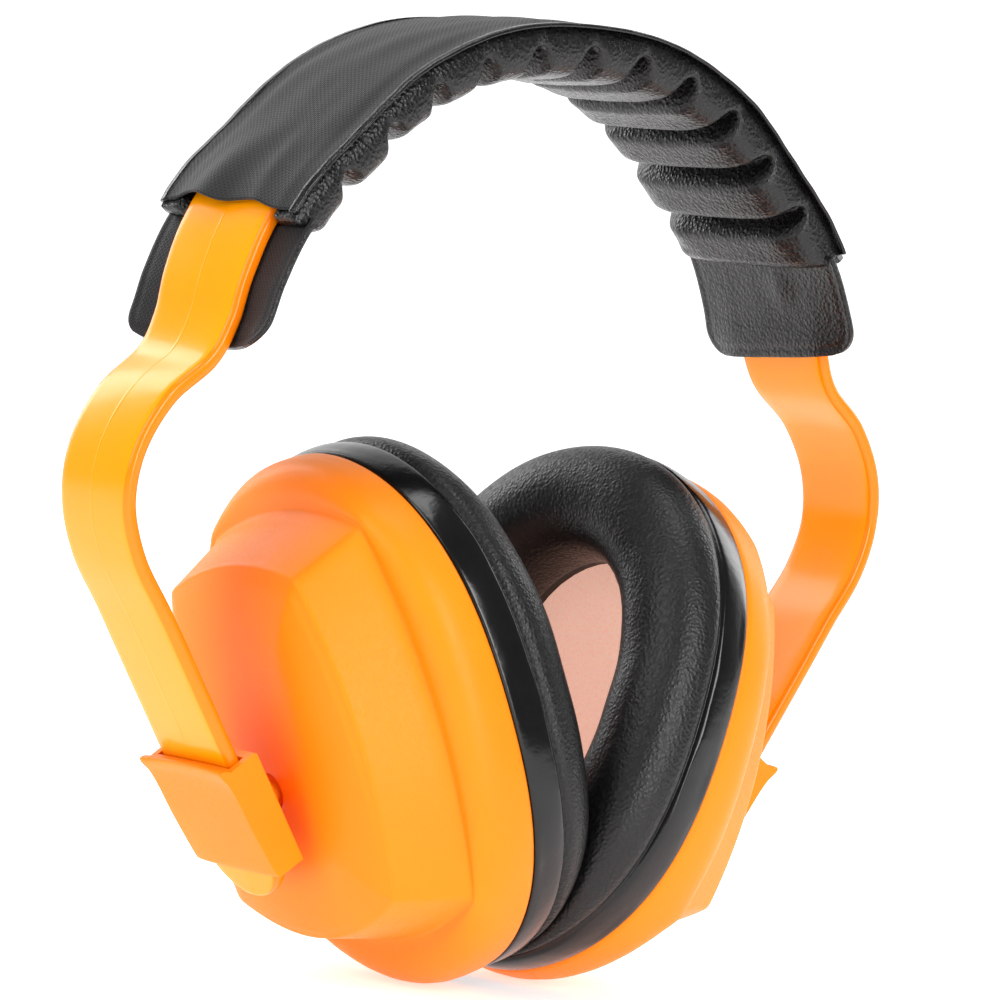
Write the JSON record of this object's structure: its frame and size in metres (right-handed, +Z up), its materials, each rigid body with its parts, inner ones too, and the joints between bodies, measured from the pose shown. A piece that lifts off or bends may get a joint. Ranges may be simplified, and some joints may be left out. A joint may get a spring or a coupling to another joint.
{
  "type": "earmuff hearing protector",
  "caption": "Over-the-head earmuffs: sprung band with padded, cloth covered crown, sliding cup holders and ball-jointed cups with soft ring cushions.",
  "frame": {"origin": "middle of the crown, at the level of the pad ribs beside the middle groove, where they rest on the head", "axes": "+X to the right-hand cup, +Y to the back, +Z up"},
  "size_m": [0.1984, 0.0875, 0.1909],
  "materials": {
    "band_plastic": "glossy moulded yellow-orange",
    "cup_plastic": "satin, fine moulded grain, orange",
    "pad_leather": "black grained leathercloth",
    "cushion_leather": "black soft leathercloth, glossy side band",
    "cover_fabric": "dark grey woven nylon",
    "ear_foam": "peach fine open foam",
    "inner_plastic": "black moulded plastic"
  },
  "bodies": {
    "band_half_left": {"band_left": "band_plastic", "crown_pad_left": "pad_leather", "band_cover_left": "cover_fabric", "pad_flap_left": "pad_leather"},
    "holder_left": {"cup_holder_left": "cup_plastic", "ball_stud_left": "cup_plastic"},
    "seat_left": {"ball_seat_left": "inner_plastic"},
    "cup_left": {"pivot_housing_left": "cup_plastic", "cup_shell_left": "cup_plastic", "sound_foam_left": "ear_foam", "cushion_plate_left": "inner_plastic", "ear_cushion_left": "cushion_leather"},
    "band_half_right": {"band_right": "band_plastic", "crown_pad_right": "pad_leather", "band_cover_right": "cover_fabric", "pad_flap_right": "pad_leather"},
    "holder_right": {"cup_holder_right": "cup_plastic", "ball_stud_right": "cup_plastic"},
    "seat_right": {"ball_seat_right": "inner_plastic"},
    "cup_right": {"pivot_housing_right": "cup_plastic", "cup_shell_right": "cup_plastic", "sound_foam_right": "ear_foam", "cushion_plate_right": "inner_plastic", "ear_cushion_right": "cushion_leather"}
  },
  "joints": [
    {"name": "band_spread", "type": "hinge", "parent": "band_half_left", "child": "band_half_right", "pos_m": [0, 0, 0.01084], "axis": [0, -1, 0], "range_deg": [0, 50], "stiffness_Nm_per_rad": 1.7},
    {"name": "slide_left", "type": "slide", "parent": "band_half_left", "child": "holder_left", "axis": [-0.5508, 0, 0.8346], "range_m": [0, 0.021]},
    {"name": "swivel_left", "type": "hinge", "parent": "holder_left", "child": "seat_left", "pos_m": [-0.04648, 0, -0.14159], "axis": [0, 0, -1], "range_deg": [-5, 5]},
    {"name": "tilt_left", "type": "hinge", "parent": "seat_left", "child": "cup_left", "pos_m": [-0.04648, 0, -0.14159], "axis": [0.0349, 0.9994, 0], "range_deg": [0, 6.5]},
    {"name": "slide_right", "type": "slide", "parent": "band_half_right", "child": "holder_right", "axis": [0.5508, 0, 0.8346], "range_m": [0, 0.021]},
    {"name": "swivel_right", "type": "hinge", "parent": "holder_right", "child": "seat_right", "pos_m": [0.04648, 0, -0.14159], "axis": [0, 0, 1], "range_deg": [-8, 2]},
    {"name": "tilt_right", "type": "hinge", "parent": "seat_right", "child": "cup_right", "pos_m": [0.04648, 0, -0.14159], "axis": [0.1045, -0.9945, 0], "range_deg": [0, 6.5]}
  ]
}
